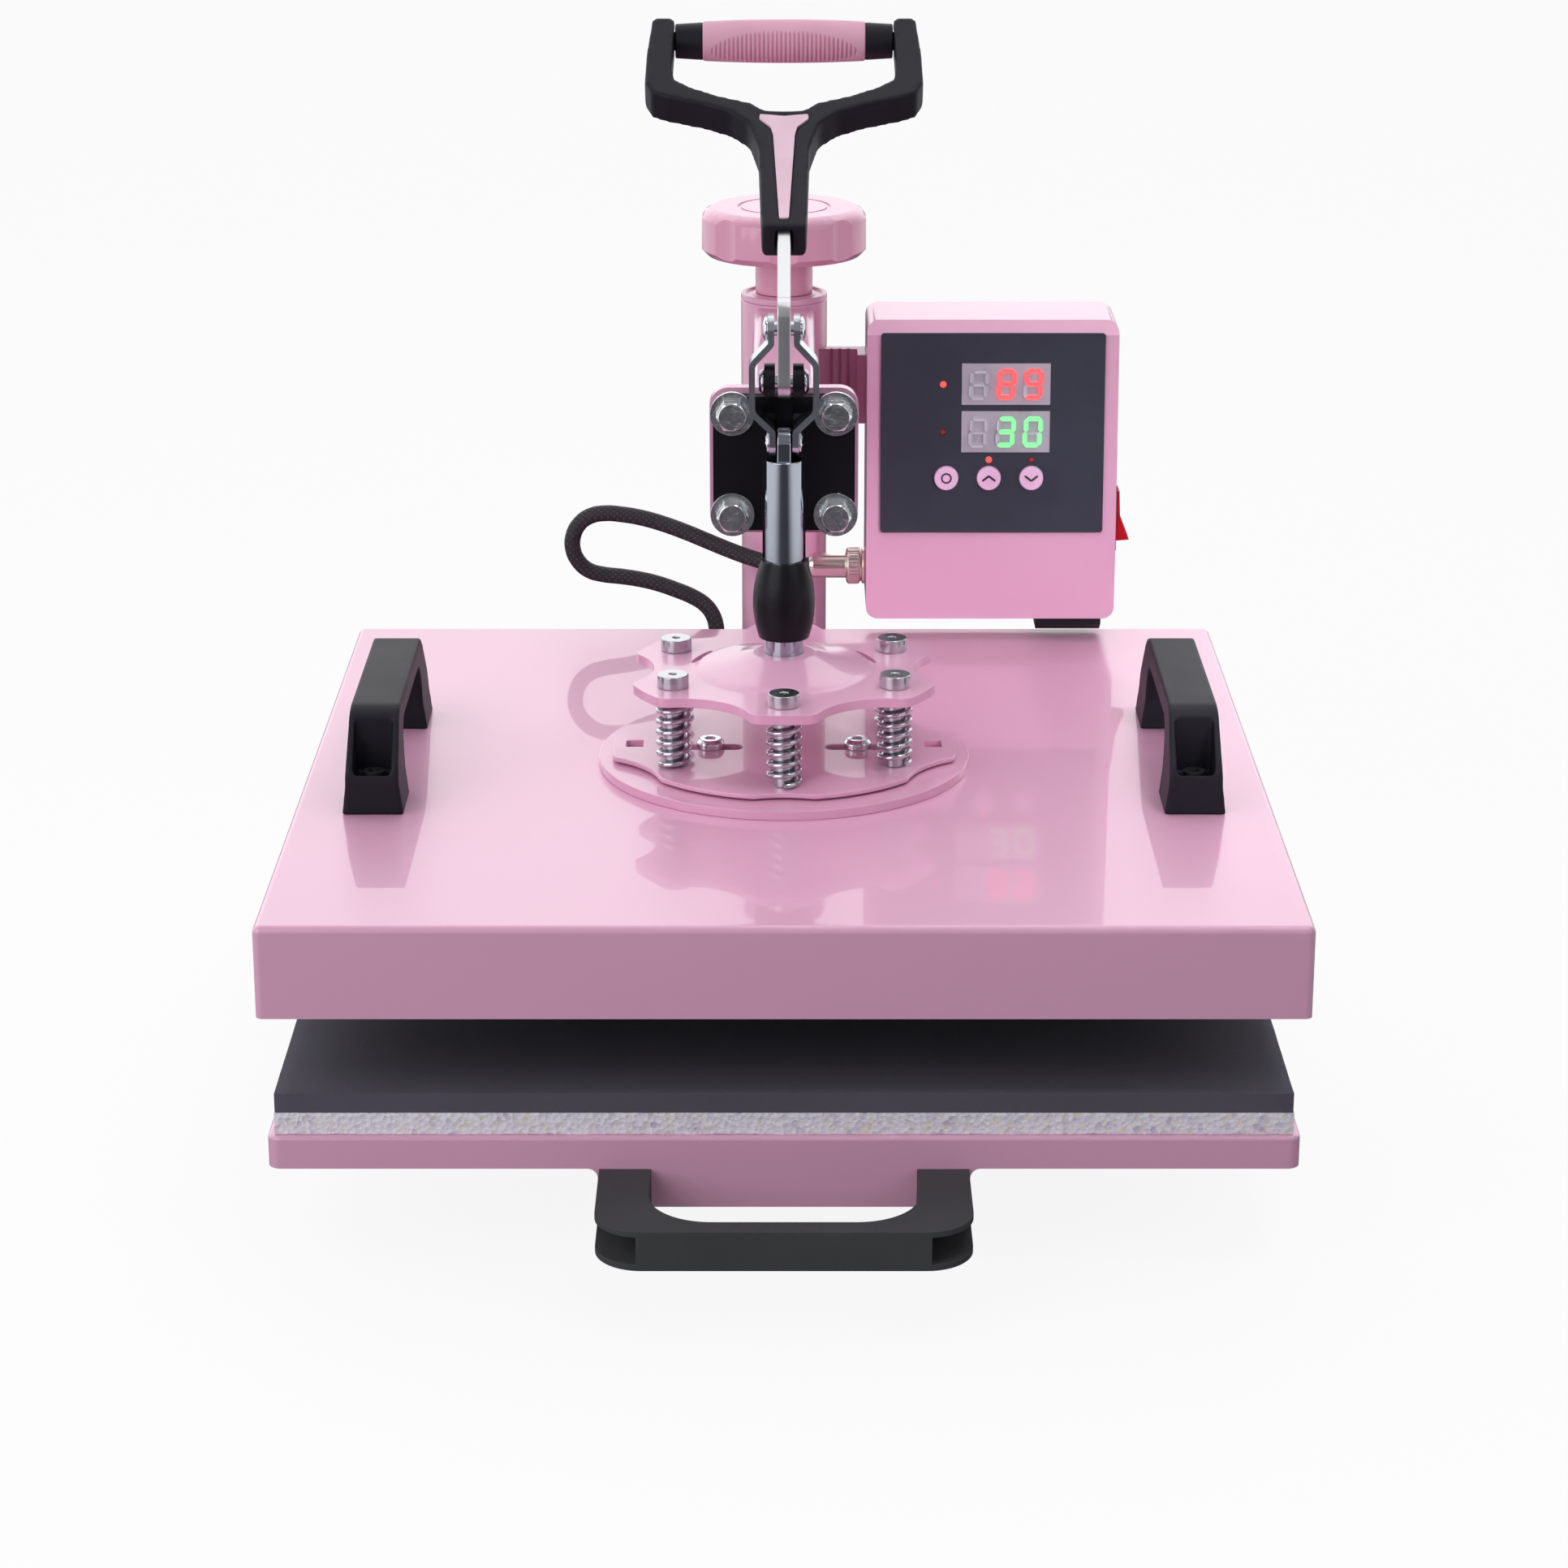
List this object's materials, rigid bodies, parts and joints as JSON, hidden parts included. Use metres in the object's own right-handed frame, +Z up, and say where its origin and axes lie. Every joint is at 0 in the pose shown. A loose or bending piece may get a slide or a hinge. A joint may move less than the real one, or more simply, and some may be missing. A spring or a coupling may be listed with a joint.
{
  "type": "combo heat press",
  "caption": "Swing-away heat press with a square heated platen, toggle lever, sprung star plate, control box and a pull-out padded lower tray.",
  "frame": {"origin": "on the floor under the middle of the footprint, with the head straight and the lever open", "axes": "+Z up, -Y to the front where the front handle is, +X to the operator's right"},
  "size_m": [0.4, 0.526, 0.4323],
  "materials": {
    "pink_paint": "gloss powder coat",
    "pink_plastic": "smooth moulding",
    "pink_rubber": "fine ribbed",
    "black_plastic": "fine grain moulding",
    "black_metal": "satin black",
    "black_rubber": "matte",
    "silicone": "matte silicone",
    "felt": "pressed felt",
    "mat_fabric": "ceramic fibre",
    "steel": "machined",
    "chrome": "bright plated",
    "nickel": "nickel plated",
    "bronze": "plain",
    "aluminium": "coated plate",
    "panel": "printed film",
    "window": "smooth",
    "lamp": "clear tinted",
    "button": "smooth",
    "red": "smooth",
    "board": "glass-epoxy laminate"
  },
  "bodies": {
    "base": {"base_rails": "pink_paint", "base_crossmembers": "pink_paint", "column_post": "steel", "rubber_feet": "black_rubber", "drawer_guides": "steel"},
    "drawer": {"drawer_runners": "steel", "lower_tray": "pink_paint", "felt_layer": "felt", "silicone_pad": "silicone", "drawer_handle": "black_plastic", "drawer_handle_screws": "chrome"},
    "lift": {"lift_bushes": "bronze"},
    "head": {"column_sleeve": "pink_paint", "column_cap": "pink_paint", "swing_arm": "pink_paint", "mount_plate": "pink_paint", "toggle_body": "black_metal", "toggle_bolts": "chrome", "lever_pivot_pin": "chrome", "box_bracket": "pink_paint", "box_front": "pink_paint", "box_back": "pink_paint", "control_panel": "panel", "display_windows": "window", "indicator_lamps": "lamp", "circuit_board": "board", "mains_gland": "black_plastic", "switch_frame": "black_plastic", "heater_socket": "nickel", "heater_plug": "nickel", "heater_cable": "black_rubber"},
    "knob": {"pressure_knob": "pink_plastic", "lift_screw": "steel"},
    "lever": {"lever_bar": "steel", "handle_yoke": "black_plastic", "yoke_insert": "pink_plastic", "grip_core": "black_plastic", "hand_grip": "pink_rubber", "crank_pin": "chrome"},
    "links": {"toggle_links": "chrome", "link_rivets": "chrome"},
    "platen": {"heat_plate": "aluminium", "heating_element": "steel", "insulation_mat": "mat_fabric", "platen_cover": "pink_paint", "platen_handle_left": "black_plastic", "platen_handle_right": "black_plastic", "platen_handle_screws": "chrome", "ring_plate": "pink_paint", "quick_change_plate": "pink_paint", "lock_screws": "chrome", "spring_bolts": "chrome", "compression_springs": "chrome", "cable_gland": "black_plastic"},
    "ram": {"ram_rod": "chrome", "star_plate": "pink_paint"},
    "set_button": {"button_set": "button"},
    "up_button": {"button_up": "button"},
    "down_button": {"button_down": "button"},
    "rocker": {"power_rocker": "red"}
  },
  "joints": [
    {"name": "drawer_slide", "type": "slide", "parent": "base", "child": "drawer", "axis": [0, -1, 0], "range_m": [0, 0.2]},
    {"name": "height_slide", "type": "slide", "parent": "base", "child": "lift", "axis": [0, 0, 1], "range_m": [0, 0.012]},
    {"name": "head_swing", "type": "hinge", "parent": "lift", "child": "head", "pos_m": [0, 0.223, 0.2], "axis": [0, 0, 1], "continuous": true},
    {"name": "knob_turn", "type": "hinge", "parent": "head", "child": "knob", "pos_m": [0, 0.223, 0.31], "axis": [0, 0, 1], "range_deg": [0, 2161]},
    {"name": "lever_swing", "type": "hinge", "parent": "head", "child": "lever", "pos_m": [0, -0.008, 0.3052], "axis": [1, 0, 0], "range_deg": [0, 118]},
    {"name": "link_swing", "type": "hinge", "parent": "lever", "child": "links", "pos_m": [0, -0.008, 0.3272], "axis": [1, 0, 0], "range_deg": [-94, 0]},
    {"name": "press_slide", "type": "slide", "parent": "head", "child": "platen", "axis": [0, 0, -1], "range_m": [0, 0.0282]},
    {"name": "spring_float", "type": "slide", "parent": "platen", "child": "ram", "axis": [0, 0, -1], "range_m": [0, 0.006], "stiffness_N_per_m": 30000, "springref_m": -0.004, "deforming": ["compression_springs"]},
    {"name": "set_press", "type": "slide", "parent": "head", "child": "set_button", "axis": [0, 0.9962, -0.0866], "range_m": [0, 0.0012], "stiffness_N_per_m": 600, "springref_m": -0.0006},
    {"name": "up_press", "type": "slide", "parent": "head", "child": "up_button", "axis": [0, 0.9962, -0.0866], "range_m": [0, 0.0012], "stiffness_N_per_m": 600, "springref_m": -0.0006},
    {"name": "down_press", "type": "slide", "parent": "head", "child": "down_button", "axis": [0, 0.9962, -0.0866], "range_m": [0, 0.0012], "stiffness_N_per_m": 600, "springref_m": -0.0006},
    {"name": "rocker_tilt", "type": "hinge", "parent": "head", "child": "rocker", "pos_m": [0.153, 0.197, 0.195], "axis": [0, 1, 0], "range_deg": [0, 24]}
  ],
  "couplings": [
    {"joint": "knob_turn", "follows": "height_slide", "rad_per_m": 3141.6},
    {"joint": "link_swing", "follows": "lever_swing", "ratio": -0.79593},
    {"joint": "press_slide", "follows": "lever_swing", "m_per_rad": 0.013683}
  ]
}
